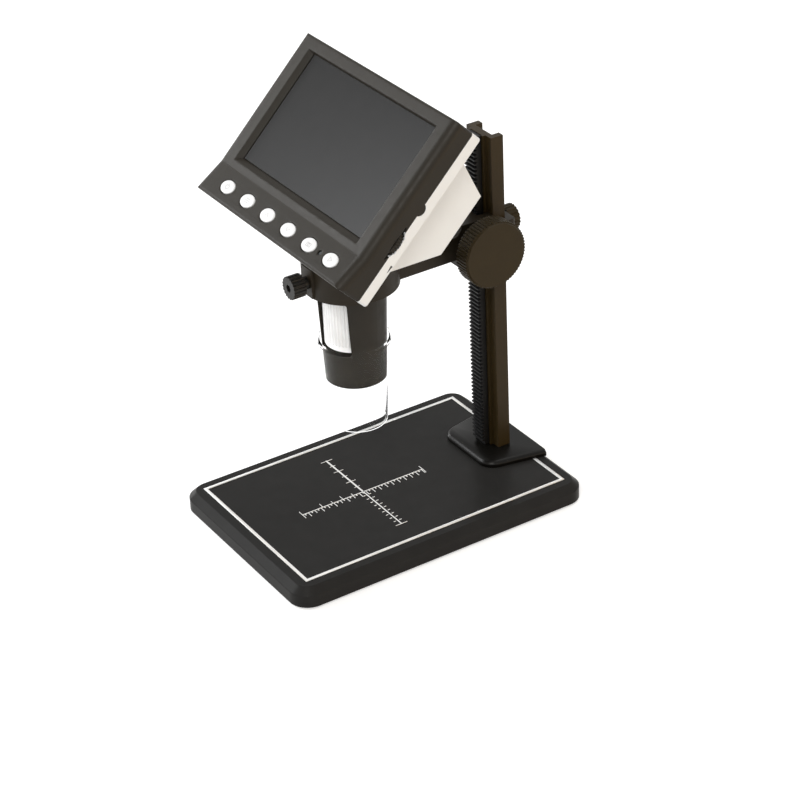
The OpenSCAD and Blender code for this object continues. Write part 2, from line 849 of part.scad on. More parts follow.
module barrel() {
  cone_h = barrel_cone_top - barrel_z;
  color("#1d1d1f") at_lens_axis() rotate(window_turn) difference() {
    union() {
      translate([0, 0, barrel_z]) cylinder(h = cone_h, r1 = barrel_low_r, r2 = barrel_r);
      translate([0, 0, barrel_cone_top])
        cylinder(h = hump_floor + run_gap - barrel_cone_top, r = barrel_r);
      translate([0, 0, hump_floor]) cylinder(h = barrel_flange_t, r = barrel_flange_r);
    }
    translate([0, 0, ledge_z]) cylinder(h = barrel_top - ledge_z + over, r = barrel_bore_r);
    translate([0, 0, barrel_z - over]) cylinder(h = ledge_z - barrel_z + 2 * over, r = ledge_r);
    translate([0, 0, barrel_z - over]) cylinder(h = nose_bore_h + over, r = nose_bore_r);
    rotate(-window_turn) translate([-barrel_flange_r, flange_flat, hump_floor - over])
      cube([2 * barrel_flange_r, barrel_flange_r, barrel_flange_t + 2 * over]);
    rotate([90, 0, 0]) linear_extrude(3 * barrel_r, center = true)
      translate([0, window_z + window_h / 2]) rounded_rect(window_w, window_h, window_corner_r);
  }
}

module inner_tube() {
  color("#171718") at_lens_axis(tube_z)
    tube(barrel_top - sensor_board_t - tube_z, tube_r, tube_r - tube_wall);
}

// Ribbed ring with a plain band at its foot
module focus_ring() {
  color("#f4f4f2") at_lens_axis(ring_z) difference() {
    union() {
      linear_extrude(ring_h) grip_outline(focus_ring_r, rib_depth, focus_ribs);
      cylinder(h = ring_band_h, r = focus_ring_r - run_gap);
    }
    translate([0, 0, -over]) cylinder(h = ring_h + 2 * over, r = ring_bore_r);
  }
}

module lens_cell() {
  color("#161617") at_lens_axis(cell_z) difference() {
    cylinder(h = cell_h, r = cell_r);
    translate([0, 0, lens_seat_t]) cylinder(h = cell_h, r = cell_bore_r);
    translate([0, 0, -over]) cylinder(h = lens_seat_t + 2 * over, r = lens_seat_r);
  }
}

// Plano-convex lens, domed side up, as a slice of a ball on a disc
module objective_lens() {
  ball_r = (lens_r * lens_r + lens_dome_t * lens_dome_t) / (2 * lens_dome_t);
  color("#c9e2ea") at_lens_axis(cell_z + lens_seat_t) {
    cylinder(h = lens_t - lens_dome_t, r = lens_r);
    intersection() {
      translate([0, 0, lens_t - ball_r]) sphere(ball_r);
      translate([0, 0, lens_t - lens_dome_t]) cylinder(h = lens_dome_t + over, r = lens_r);
    }
  }
}

module light_board() {
  color("#e9e9e2") at_lens_axis(barrel_z + nose_bore_h - light_board_t)
    tube(light_board_t, nose_bore_r - seat_gap, light_board_hole_r);
}

module light_lamps() {
  color("#ffe9a8") at_lens_axis(barrel_z + nose_bore_h - light_board_t - lamp_t)
    for (i = [0 : lamp_count - 1]) rotate(i * 360 / lamp_count)
      translate([lamp_ring_r, 0, 0]) cylinder(h = lamp_t, r = lamp_r);
}

module lens_window() {
  color("#dfeef2") at_lens_axis(barrel_z + lens_window_rise)
    cylinder(h = lens_window_t, r = nose_bore_r - seat_gap);
}

module clear_hood() {
  color("#dfeaee") at_lens_axis(hood_z) difference() {
    union() {
      cylinder(h = hood_l, r1 = hood_low_r + hood_wall, r2 = hood_top_r + hood_wall);
      translate([0, 0, hood_l - hood_lip_t])
        cylinder(h = hood_lip_t, r = hood_top_r + hood_wall + hood_lip_out);
    }
    translate([0, 0, -over]) cylinder(h = hood_l + 2 * over,
      r1 = hood_low_r - hood_slope_share * over, r2 = hood_top_r + hood_slope_share * over);
  }
}

module sensor_board() {
  color("#1d6b3a") at_lens_axis(barrel_top - sensor_board_t)
    cylinder(h = sensor_board_t, r = barrel_bore_r - seat_gap);
}

module image_sensor() {
  color("#2a2a30") at_lens_axis(barrel_top - sensor_board_t - sensor_t)
    translate([-sensor_w / 2, -sensor_w / 2, 0]) cube([sensor_w, sensor_w, sensor_t]);
}

// Head

// Outline of the bezel across the head, rolled over at left and right
module bezel_across() {
  for (side = [[-1, bezel_left_roll_r], [1, bezel_roll_r]]) {
    roll_x = head_w / 2 - side[1];
    flat_h = bezel_front - seam_z;
    translate([min(0, side[0] * head_w / 2), seam_z]) square([head_w / 2, flat_h - side[1]]);
    translate([min(0, side[0] * roll_x), seam_z]) square([roll_x, flat_h]);
    translate([side[0] * roll_x, bezel_front - side[1]]) circle(side[1]);
  }
}

// Points of an arc round c
function arc(c, r, a0, a1) = [for (i = [0 : arc_steps])
  let (a = a0 + (a1 - a0) * i / arc_steps) c + r * [cos(a), sin(a)]];

// Depth of the bezel's front face at height y: flat, then the button strip leaning forwards
function front_z(y) = bezel_front + max(0, strip_top - y) * tan(strip_lean);

// Outline of the bezel up the head
module bezel_up() {
  low = [head_low + edge_roll_r, front_z(head_low + edge_roll_r) - edge_roll_r / cos(strip_lean)];
  high = [head_top - edge_roll_r, bezel_front - edge_roll_r];
  polygon(concat(
    [[head_low, seam_z]], arc(low, edge_roll_r, 180, 90 - strip_lean),
    [[strip_top, bezel_front]], arc(high, edge_roll_r, 90, 0), [[head_top, seam_z]]
  ));
}

// The same outline inside the wall, open at the back
module bezel_up_inside() {
  low = head_low + shell_t;
  high = head_top - shell_t;
  polygon([
    [low, seam_z - over], [low, front_z(low) - bezel_front], [strip_top, 0], [high, 0],
    [high, seam_z - over]
  ]);
}

module head_block(low_z, high_z) {
  translate([0, head_top - head_h / 2, low_z]) linear_extrude(high_z - low_z)
    rounded_rect(head_w, head_h, head_corner_r);
}

module up_profile() {
  rotate([90, 0, 90]) linear_extrude(head_w + 2 * over, center = true) children();
}

module across_profile() {
  translate([0, head_top + over, 0]) rotate([90, 0, 0]) linear_extrude(head_h + 2 * over) children();
}

// Profile across the head run down the leaning button strip, and up behind the flat part
module strip_profile() {
  translate([0, strip_top, bezel_front]) rotate([-strip_lean, 0, 0])
    translate([0, strip_h, -bezel_front]) rotate([90, 0, 0]) linear_extrude(strip_reach) children();
}

module bezel_shell() {
  inner_w = head_w - 2 * shell_t;
  difference() {
    intersection() {
      head_block(seam_z, front_z(head_low));
      up_profile() bezel_up();
      union() {
        across_profile() bezel_across();
        strip_profile() bezel_across();
      }
    }
    intersection() {
      up_profile() bezel_up_inside();
      across_profile() translate([-inner_w / 2, seam_z - over]) square([inner_w, head_h]);
    }
    screen_opening();
    side_cuts();
  }
}

module strip_holes() {
  translate([0, 0, -front_wall - over]) {
    for (i = [0 : button_count - 1]) translate([button_x(i), 0, 0])
      cylinder(h = front_wall + 2 * over, r = button_r + button_gap);
    translate([indicator_x, 0, 0]) cylinder(h = front_wall + 2 * over, r = indicator_r + seat_gap);
  }
}

module front_bezel() {
  color("#2e2e31") {
    difference() {
      at_head() bezel_shell();
      at_strip() strip_holes();
    }
    at_head() {
      cover_posts();
      side_tab(0);
    }
    at_strip() button_posts();
  }
}

// Round tab on the right that reaches over the seam into the rear cover
module side_tab(gap) {
  side_room = gap > 0 ? over : 0;
  translate([head_w / 2 - tab_t - gap, tab_y, seam_z + tab_rise]) rotate([0, 90, 0])
    cylinder(h = tab_t + gap + side_room, r = tab_r + gap);
}

function button_x(i) = button_mid_x + (i - (button_count - 1) / 2) * button_pitch;

// Picture opening, its four walls leaning outwards
module screen_opening() {
  intersection() {
    up_profile() polygon([
      [-picture_h / 2, -over], [-picture_h / 2, 0], [-picture_h / 2 - opening_low, bezel_front],
      [-picture_h / 2 - opening_low, bezel_front + over],
      [picture_h / 2 + opening_top, bezel_front + over],
      [picture_h / 2 + opening_top, bezel_front], [picture_h / 2, 0], [picture_h / 2, -over]
    ]);
    across_profile() {
      translate([0, bezel_front / 2]) trapezoid_mid(picture_w, picture_w + 2 * opening_side, bezel_front);
      translate([-picture_w / 2, -over]) square([picture_w, 2 * over]);
      translate([-picture_w / 2 - opening_side, bezel_front])
        square([picture_w + 2 * opening_side, over]);
    }
  }
}

module trapezoid_mid(low, high, h) {
  translate([0, -h / 2]) trapezoid(low, high, h);
}

// Posts that take the cover screws
module cover_posts() {
  for (x = [-cover_post_x, cover_post_x], y = [cover_post_low, cover_post_top])
    translate([x, y, seam_z]) difference() {
      cylinder(h = post_top(y) - seam_z, r = cover_post_r);
      translate([0, 0, -over]) cylinder(h = cover_screw_bite + over, r = cover_screw_r + run_gap);
    }
}

function post_top(y) = front_z(y - cover_post_r) - bezel_front + run_gap;

module button_posts() {
  for (s = [-1, 1]) translate([button_mid_x + s * button_pitch, 0, switch_z - switch_t])
    cylinder(h = -front_wall - switch_z + switch_t + run_gap, r = button_post_r);
}

// Openings in the sides that both shells share
module side_cuts() {
  usb_z = board_back - usb_h;
  card_z = board_back - card_h;
  translate([-head_w / 2 - over, usb_y - usb_w / 2 - socket_room, usb_z - socket_room])
    cube([shell_t + 2 * over, usb_w + 2 * socket_room, usb_h + 2 * socket_room]);
  translate([-head_w / 2 - over, card_y - card_w / 2 - socket_room, card_z - socket_room])
    cube([shell_t + 2 * over, card_w + 2 * socket_room, card_h + 2 * socket_room]);
  translate([dimmer_x(), dimmer_y, dimmer_z - dimmer_room])
    cylinder(h = dimmer_t + 2 * dimmer_room, r = dimmer_r + dimmer_room);
  intersection() {
    translate([head_w / 2 - scallop_d, dimmer_y, scallop_z]) rotate([0, 90, 0])
      cylinder(h = scallop_d + over, r = scallop_r);
    translate([0, dimmer_y - scallop_r, scallop_top - 2 * scallop_r])
      cube([head_w, 2 * scallop_r, 2 * scallop_r]);
  }
  for (s = [-1, 1])
    translate([head_w / 2 - side_hole_d, dimmer_y + s * side_hole_off, side_hole_z]) rotate([0, 90, 0])
      cylinder(h = side_hole_d + over, r = side_hole_r);
}

function dimmer_x() = head_w / 2 + dimmer_out - dimmer_r;

module screen_glass() {
  color("#33363a") at_head()
    translate([-picture_w / 2 - glass_margin, -picture_h / 2 - glass_margin, -glass_t])
      cube([picture_w + 2 * glass_margin, picture_h + 2 * glass_margin, glass_t]);
}

module lcd_panel() {
  color("#4a4d52") at_head() translate([-lcd_w / 2, lcd_low, -glass_t - lcd_t])
    cube([lcd_w, lcd_top - lcd_low, lcd_t]);
}

module main_board() {
  color("#1c5c35") at_head() translate([-board_w / 2, board_low, board_back])
    cube([board_w, board_top - board_low, board_t]);
}

module battery() {
  color("#9aa3ad") at_head() translate([-battery_w / 2, battery_low, hump_z + shell_t])
    cube([battery_w, battery_h, battery_t]);
}

module button_board() {
  color("#1f6a3c") at_strip(button_mid_x) translate([0, 0, switch_z - switch_t - button_board_t])
    linear_extrude(button_board_t) square([button_board_w, button_board_h], center = true);
}

module button_switches() {
  color("#c8c8c8") for (i = [0 : button_count - 1])
    at_strip(button_x(i)) translate([0, 0, switch_z - switch_t])
      linear_extrude(switch_t) square(switch_w, center = true);
}

// Metal socket shell on the back of the main board, open to the left
module socket(y, l, w, h) {
  translate([-head_w / 2 + socket_back, y - w / 2, board_back - h]) difference() {
    cube([l, w, h]);
    translate([-over, socket_wall, socket_wall])
      cube([l + over - socket_wall, w - 2 * socket_wall, h - 2 * socket_wall]);
  }
}

module usb_socket() {
  color("#b9bcc0") at_head() {
    socket(usb_y, usb_l, usb_w, usb_h);
    translate([-head_w / 2 + socket_back + usb_tongue_t, usb_y - usb_tongue_w / 2, usb_tongue_z])
      cube([usb_l - usb_tongue_t, usb_tongue_w, usb_tongue_t]);
  }
}

module card_socket() {
  color("#b9bcc0") at_head() socket(card_y, card_l, card_w, card_h);
}

module dimmer_wheel() {
  color("#161618") at_head() translate([dimmer_x(), dimmer_y, dimmer_z]) difference() {
    linear_extrude(dimmer_t) grip_outline(dimmer_r, knob_grip_depth, dimmer_grips);
    translate([0, 0, -over]) cylinder(h = dimmer_t + 2 * over, r = dimmer_bore_r + run_gap);
  }
}

// Control under the main board whose stem carries the dimmer wheel
module dimmer_pot() {
  pot_z = dimmer_z - free_gap - dimmer_pot_t;
  color("#3c5a8a") at_head() translate([dimmer_x(), dimmer_y, pot_z]) {
    cylinder(h = dimmer_pot_t, r = dimmer_pot_r);
    cylinder(h = board_back - pot_z, r = dimmer_bore_r);
  }
}

module indicator_lens() {
  color("#cfe8d8") at_strip() translate([indicator_x, 0, switch_z - switch_t])
    cylinder(h = -indicator_sink - switch_z + switch_t, r = indicator_r);
}

module button(i) {
  color("#f1f1ef") at_strip(button_x(i)) {
    translate([0, 0, -front_wall - free_gap])
      cylinder(h = front_wall + free_gap + button_proud, r = button_r);
    translate([0, 0, -front_wall - free_gap - button_flange_t])
      cylinder(h = button_flange_t, r = button_flange_r);
    translate([0, 0, -front_wall - free_gap - button_flange_t - button_stem_t])
      cylinder(h = button_stem_t, r = button_stem_r);
  }
}

module button_1() { button(0); }
module button_2() { button(1); }
module button_3() { button(2); }
module button_4() { button(3); }
module button_5() { button(4); }
module button_6() { button(5); }

// Hump outline up the head, drawn in by d, its bottom face level with the table
module hump_up(d, front) {
  high = function(z) hump_high_y + (z - hump_z) * hump_slant_share - d * norm([1, hump_slant_share]);
  low = function(z) hump_low_y - (z - hump_z) / tan(screen_lean) + d / sin(screen_lean);
  back = hump_z + d;
  polygon([[low(back), back], [high(back), back], [high(front), front], [low(front), front]]);
}

module rear_cover() {
  color("#f2f1ec") difference() {
    union() {
      at_head() difference() {
        union() {
          head_block(rim_z, seam_z);
          up_profile_w(hump_w) hump_up(0, rim_z + run_gap);
        }
        translate([0, head_top - head_h / 2, rim_z + shell_t]) linear_extrude(rim_d)
          square([head_w - 2 * shell_t, head_h - 2 * shell_t], center = true);
        up_profile_w(hump_w - 2 * shell_t) hump_up(shell_t, rim_z + shell_t + run_gap);
      }
      at_head() at_cover_screws() translate([0, 0, over])
        cylinder(h = rim_d, r = cover_post_r);
    }
    at_lens_axis(arm_z) cylinder(h = hump_floor - arm_z + over, r = barrel_r + seat_gap);
    at_head() {
      side_cuts();
      side_tab(seat_gap);
      at_cover_screws() {
        cylinder(h = rim_d + 2 * over, r = cover_screw_r + seat_gap);
        cylinder(h = over + cover_screw_head_t, r = cover_screw_head_r + seat_gap);
      }
    }
  }
}

module up_profile_w(w) {
  rotate([90, 0, 90]) linear_extrude(w, center = true) children();
}

module at_cover_screws() {
  for (x = [-cover_post_x, cover_post_x], y = [cover_post_low, cover_post_top])
    translate([x, y, rim_z - over]) children();
}

module cover_screws() {
  color("#6d6e70") at_head() at_cover_screws() translate([0, 0, over]) difference() {
    union() {
      cylinder(h = cover_screw_head_t, r = cover_screw_head_r);
      cylinder(h = rim_d + cover_screw_bite - over, r = cover_screw_r);
    }
    for (turn = [0, 90]) rotate(turn) translate([-cross_l / 2, -cross_w / 2, -over])
      cube([cross_l, cross_w, over + cross_d]);
  }
}

base_plate();
scale_print();
rubber_feet();
column_foot();
column();
foot_screws();
rack();
arm_bracket();
shaft_bush();
brake_pad();
pinion_shaft();
height_knob();
knob_set_screw();
shaft_clip();
lock_screw();
clamp_screw();
barrel();
inner_tube();
focus_ring();
lens_cell();
objective_lens();
light_board();
light_lamps();
lens_window();
clear_hood();
sensor_board();
image_sensor();
front_bezel();
screen_glass();
lcd_panel();
main_board();
battery();
button_board();
button_switches();
usb_socket();
card_socket();
dimmer_wheel();
dimmer_pot();
indicator_lens();
rear_cover();
cover_screws();
button_1();
button_2();
button_3();
button_4();
button_5();
button_6();
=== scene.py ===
# %% [markdown]
# # A digital microscope with a tilted screen
# The construction comes from the imported model: every rigid piece is already there at its real
# size. This lesson gives those pieces their finishes, and models
# what a maker adds last: domed oval caps, a rounded rim on the foot, and the printed marks.

# %% Load the construction
import json
import math

import bmesh
import bpy
from mathutils import Matrix, Vector


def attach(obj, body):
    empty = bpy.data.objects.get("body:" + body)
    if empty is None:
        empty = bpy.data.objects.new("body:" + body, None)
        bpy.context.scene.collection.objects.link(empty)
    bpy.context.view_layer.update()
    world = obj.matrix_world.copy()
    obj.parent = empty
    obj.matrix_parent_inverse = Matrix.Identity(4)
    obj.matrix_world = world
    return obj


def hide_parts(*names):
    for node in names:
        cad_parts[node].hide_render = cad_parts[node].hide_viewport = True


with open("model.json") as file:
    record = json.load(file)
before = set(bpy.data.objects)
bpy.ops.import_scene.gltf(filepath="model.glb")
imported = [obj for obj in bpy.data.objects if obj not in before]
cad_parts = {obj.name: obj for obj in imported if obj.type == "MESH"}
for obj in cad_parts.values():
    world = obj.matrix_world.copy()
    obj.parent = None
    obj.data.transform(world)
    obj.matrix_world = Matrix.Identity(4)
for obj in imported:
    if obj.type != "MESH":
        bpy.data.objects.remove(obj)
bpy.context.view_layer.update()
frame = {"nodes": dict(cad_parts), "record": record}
scene = bpy.context.scene
mm = 0.001

# %% [markdown]
# The camera stands to the right of the microscope, a little over a metre away, and looks down by
# 31 degrees. A long lens keeps the edges of the base nearly parallel. The same view could be found
# by eye, but angles and a distance are easier to keep.

# %% Camera
view_azimuth, view_elevation, view_roll = 58.63, 30.89, -2.76
focal_pixels, frame_pixels = 2512.28, 800
centre_shift, centre_rise, distance = -7.15 * mm, -47.27 * mm, 1160.5 * mm


def camera_axes(azimuth, elevation, roll):
    a, e, r = (math.radians(v) for v in (azimuth, elevation, roll))
    back = Vector((math.sin(a) * math.cos(e), -math.cos(a) * math.cos(e), math.sin(e)))
    level = Vector((math.cos(a), math.sin(a), 0))
    rise = back.cross(level)
    right = math.cos(r) * level + math.sin(r) * rise
    up = -math.sin(r) * level + math.cos(r) * rise
    return right, up, back


right, up, back = camera_axes(view_azimuth, view_elevation, view_roll)
lens = bpy.data.cameras.new("photo_camera")
lens.sensor_width = 36
lens.lens = focal_pixels / frame_pixels * lens.sensor_width
lens.clip_start, lens.clip_end = 0.01, 20
camera = bpy.data.objects.new("photo_camera", lens)
scene.collection.objects.link(camera)
camera.matrix_world = Matrix((right, up, back)).transposed().to_4x4()
camera.location = -(right * centre_shift + up * centre_rise - back * distance)
scene.camera = camera
print("camera", [round(v, 3) for v in camera.location], "lens", round(lens.lens, 1))

# %% [markdown]
# The floor is one wide pale plane, as in a product studio. It is lit like anything else, so it
# takes the shadow of the base, and a little glow that only the camera, gloss and glass see lifts
# it to white. The world does the same for what lies behind the floor. Five broad lamps give soft
# light: each row holds a lamp's place and size in metres, its power in watts and its colour.

# %% Floor, background and light
scene.view_settings.view_transform = "Standard"
floor_half, floor_grey, floor_glow = 6, 0.8, 0.5
sky_colour, sky_on_object, sky_seen = (1, 0.995, 0.99, 1), 0.42, 1.0


def seen_directly(nodes, links):
    """The number one for rays from the camera, gloss and glass, and zero for all others."""
    path = nodes.new("ShaderNodeLightPath")
    seen = path.outputs["Is Camera Ray"]
    for kind in ("Is Glossy Ray", "Is Transmission Ray"):
        either = nodes.new("ShaderNodeMath")
        either.operation = "MAXIMUM"
        links.new(seen, either.inputs[0])
        links.new(path.outputs[kind], either.inputs[1])
        seen = either.outputs[0]
    return seen


floor_mesh = bpy.data.meshes.new("studio_floor")
plan = bmesh.new()
bmesh.ops.create_grid(plan, x_segments=1, y_segments=1, size=floor_half)
plan.to_mesh(floor_mesh)
plan.free()
floor = bpy.data.objects.new("studio_floor", floor_mesh)
scene.collection.objects.link(floor)

floor_paint = bpy.data.materials.new("floor_paint")
floor_paint.use_nodes = True
nodes, links = floor_paint.node_tree.nodes, floor_paint.node_tree.links
nodes.clear()
output = nodes.new("ShaderNodeOutputMaterial")
paint = nodes.new("ShaderNodeBsdfDiffuse")
paint.inputs["Color"].default_value = (floor_grey, floor_grey, floor_grey, 1)
glow = nodes.new("ShaderNodeEmission")
glow_strength = nodes.new("ShaderNodeMath")
glow_strength.operation = "MULTIPLY"
glow_strength.inputs[1].default_value = floor_glow
links.new(seen_directly(nodes, links), glow_strength.inputs[0])
links.new(glow_strength.outputs[0], glow.inputs["Strength"])
both = nodes.new("ShaderNodeAddShader")
links.new(paint.outputs[0], both.inputs[0])
links.new(glow.outputs[0], both.inputs[1])
links.new(both.outputs[0], output.inputs["Surface"])
floor_mesh.materials.append(floor_paint)

world = bpy.data.worlds.new("studio_world")
scene.world = world
world.use_nodes = True
nodes, links = world.node_tree.nodes, world.node_tree.links
nodes.clear()
output = nodes.new("ShaderNodeOutputWorld")
sky = nodes.new("ShaderNodeBackground")
sky.inputs["Color"].default_value = sky_colour
sky_strength = nodes.new("ShaderNodeMapRange")
sky_strength.inputs["To Min"].default_value = sky_on_object
sky_strength.inputs["To Max"].default_value = sky_seen
links.new(seen_directly(nodes, links), sky_strength.inputs["Value"])
links.new(sky_strength.outputs["Result"], sky.inputs["Strength"])
links.new(sky.outputs[0], output.inputs["Surface"])


def soft_lamp(name, place, aim, size, power, colour):
    lamp = bpy.data.lights.new(name, "AREA")
    lamp.shape = "RECTANGLE"
    lamp.size, lamp.size_y = size
    lamp.energy = power
    lamp.color = colour
    holder = bpy.data.objects.new(name, lamp)
    scene.collection.objects.link(holder)
    holder.location = place
    holder.rotation_euler = (Vector(aim) - Vector(place)).to_track_quat("-Z", "Y").to_euler()
    return holder


head_centre = (0, -0.01, 0.14)
lamps = {
    "key_lamp": ((-0.61, -0.68, 0.61), (0.5, 0.4), 6.4, (0.97, 0.985, 1)),
    "top_lamp": ((0.1, 0.5, 1.3), (1.0, 0.8), 4.2, (1, 0.99, 0.97)),
    "warm_lamp": ((0.95, 0.42, 0.16), (0.5, 0.4), 2.4, (1, 0.68, 0.34)),
    "rim_lamp": ((0.60, -0.52, 0.73), (0.3, 0.3), 3.0, (1, 0.97, 0.92)),
    "left_lamp": ((-1.10, -0.25, 0.25), (0.2, 0.6), 2.4, (1, 1, 1)),
}
for name, (place, size, power, colour) in lamps.items():
    soft_lamp(name, place, head_centre, size, power, colour)
print("lamps", list(lamps))

# %% [markdown]
# Every solid finish is a principled surface with three small touches: a slow drift of the colour,
# a fine grain in the roughness and the relief, and a bevel that rounds sharp edges in the light.
# The patterns read Object coordinates in metres, so their scale is the real one on every piece.

# %% Surface maker
edge_radius = 0.25 * mm
drift_cell, rough_cell, glass_cell = 9 * mm, 3 * mm, 2 * mm
noise_low, noise_high = 0.3, 0.7
edge_samples, coat_roughness = 6, 0.12


def new_surface(name):
    material = bpy.data.materials.new(name)
    material.use_nodes = True
    nodes = material.node_tree.nodes
    return material, nodes, material.node_tree.links, nodes["Principled BSDF"]


def noise(nodes, links, cell, detail=2.0):
    place = nodes.new("ShaderNodeTexCoord")
    pattern = nodes.new("ShaderNodeTexNoise")
    pattern.inputs["Scale"].default_value = 1 / cell
    pattern.inputs["Detail"].default_value = detail
    links.new(place.outputs["Object"], pattern.inputs["Vector"])
    return pattern


def between(nodes, links, source, low, high):
    span = nodes.new("ShaderNodeMapRange")
    span.inputs["From Min"].default_value = noise_low
    span.inputs["From Max"].default_value = noise_high
    span.inputs["To Min"].default_value = low
    span.inputs["To Max"].default_value = high
    links.new(source, span.inputs["Value"])
    return span.outputs["Result"]


def drifting_colour(nodes, links, shader, colour, drift, cell):
    dark = [c * (1 - drift) for c in colour]
    light = [min(1, c * (1 + drift)) for c in colour]
    mix = nodes.new("ShaderNodeMix")
    mix.data_type = "RGBA"
    mix.inputs["A"].default_value = (*dark, 1)
    mix.inputs["B"].default_value = (*light, 1)
    patches = between(nodes, links, noise(nodes, links, cell).outputs["Fac"], 0, 1)
    links.new(patches, mix.inputs["Factor"])
    links.new(mix.outputs["Result"], shader.inputs["Base Color"])


def grain_and_edges(nodes, links, shader, cell, height, edge=edge_radius):
    bevel = nodes.new("ShaderNodeBevel")
    bevel.samples = edge_samples
    bevel.inputs["Radius"].default_value = edge
    bump = nodes.new("ShaderNodeBump")
    bump.inputs["Distance"].default_value = height
    bump.inputs["Strength"].default_value = 1
    links.new(noise(nodes, links, cell, 3).outputs["Fac"], bump.inputs["Height"])
    links.new(bevel.outputs["Normal"], bump.inputs["Normal"])
    links.new(bump.outputs["Normal"], shader.inputs["Normal"])


def solid_finish(name, colour, roughness, metallic=0.0, grain=(0.4 * mm, 0.01 * mm), drift=0.06,
                 edge=edge_radius, coat=0.0, spread=0.05, specular=0.5):
    material, nodes, links, shader = new_surface(name)
    shader.inputs["Metallic"].default_value = metallic
    shader.inputs["Coat Weight"].default_value = coat
    shader.inputs["Coat Roughness"].default_value = coat_roughness
    shader.inputs["Specular IOR Level"].default_value = specular
    drifting_colour(nodes, links, shader, colour, drift, drift_cell)
    rough = between(nodes, links, noise(nodes, links, rough_cell, 4).outputs["Fac"],
                    roughness - spread, roughness + spread)
    links.new(rough, shader.inputs["Roughness"])
    grain_and_edges(nodes, links, shader, *grain, edge)
    return material


# %% [markdown]
# The stand is cast, extruded and turned metal under a satin black finish, the head's front shell
# is moulded in black with a fine spark texture, and the rear shell in white. The blacks differ
# only a little in warmth, grain and gloss, which is what tells cast from turned metal. The clear
# hood's index is close to that of air, so that it stays as faint as the real one: the index of
# solid plastic would make so thin a wall mirror too much.

# %% Finishes by name
paints = {
    "black_casting": dict(colour=(0.020, 0.0152, 0.0092), roughness=0.42,
                          grain=(0.5 * mm, 0.012 * mm), specular=0.16),
    "black_anodised": dict(colour=(0.030, 0.0195, 0.0065), roughness=0.40,
                           grain=(0.3 * mm, 0.004 * mm), specular=0.14),
    "black_steel": dict(colour=(0.007, 0.007, 0.007), roughness=0.36, edge=0.08 * mm, specular=0.16),
    "white_print": dict(colour=(0.90, 0.90, 0.89), roughness=0.55, edge=0.02 * mm),
    "foot_rubber": dict(colour=(0.015, 0.015, 0.015), roughness=0.75),
    "plain_steel": dict(colour=(0.55, 0.55, 0.56), roughness=0.28, metallic=1.0, edge=0.12 * mm),
    "bush_brass": dict(colour=(0.70, 0.50, 0.22), roughness=0.30, metallic=1.0, edge=0.12 * mm),
    "white_nylon": dict(colour=(0.72, 0.70, 0.64), roughness=0.45),
    "black_knob": dict(colour=(0.029, 0.0200, 0.0075), roughness=0.42, edge=0.15 * mm, specular=0.12),
    "black_barrel": dict(colour=(0.023, 0.0200, 0.0155), roughness=0.42, specular=0.16),
    "white_ring": dict(colour=(0.93, 0.93, 0.93), roughness=0.40, edge=0.1 * mm),
    "board_white": dict(colour=(0.75, 0.75, 0.70), roughness=0.35),
    "lamp_resin": dict(colour=(0.80, 0.72, 0.42), roughness=0.15, coat=0.5),
    "board_green": dict(colour=(0.02, 0.10, 0.045), roughness=0.30, coat=0.3),
    "chip_black": dict(colour=(0.02, 0.02, 0.022), roughness=0.5),
    "black_shell": dict(colour=(0.0190, 0.0158, 0.0112), roughness=0.42,
                        grain=(0.35 * mm, 0.010 * mm), specular=0.17, edge=1.0 * mm),
    "panel_metal": dict(colour=(0.30, 0.31, 0.32), roughness=0.35, metallic=1.0),
    "battery_foil": dict(colour=(0.35, 0.37, 0.40), roughness=0.35, metallic=0.6),
    "switch_metal": dict(colour=(0.6, 0.6, 0.6), roughness=0.3, metallic=1.0),
    "pot_body": dict(colour=(0.02, 0.04, 0.14), roughness=0.4),
    "white_shell": dict(colour=(0.80, 0.82, 0.83), roughness=0.45,
                        grain=(0.35 * mm, 0.006 * mm), drift=0.01),
    "white_button": dict(colour=(0.76, 0.76, 0.755), roughness=0.38, drift=0.02),
}
finishes = {name: solid_finish(name, **values) for name, values in paints.items()}
tint_drift, clear_spread = 0.01, 0.03


def clear_finish(name, tint, roughness, ior):
    material, nodes, links, shader = new_surface(name)
    shader.inputs["Transmission Weight"].default_value = 1
    shader.inputs["IOR"].default_value = ior
    drifting_colour(nodes, links, shader, tint, tint_drift, drift_cell)
    rough = between(nodes, links, noise(nodes, links, glass_cell).outputs["Fac"],
                    roughness, roughness + clear_spread)
    links.new(rough, shader.inputs["Roughness"])
    return material


finishes["clear_plastic"] = clear_finish("clear_plastic", (0.97, 0.975, 0.975),
                                         roughness=0.0, ior=1.06)
finishes["lens_glass"] = clear_finish("lens_glass", (0.90, 0.96, 0.98), roughness=0.0, ior=1.52)
finishes["screen_cover"] = solid_finish("screen_cover", (0.011, 0.0108, 0.0106), 0.28, spread=0.002,
                                        grain=(1 * mm, 0.0), edge=0.05 * mm, specular=0.11)

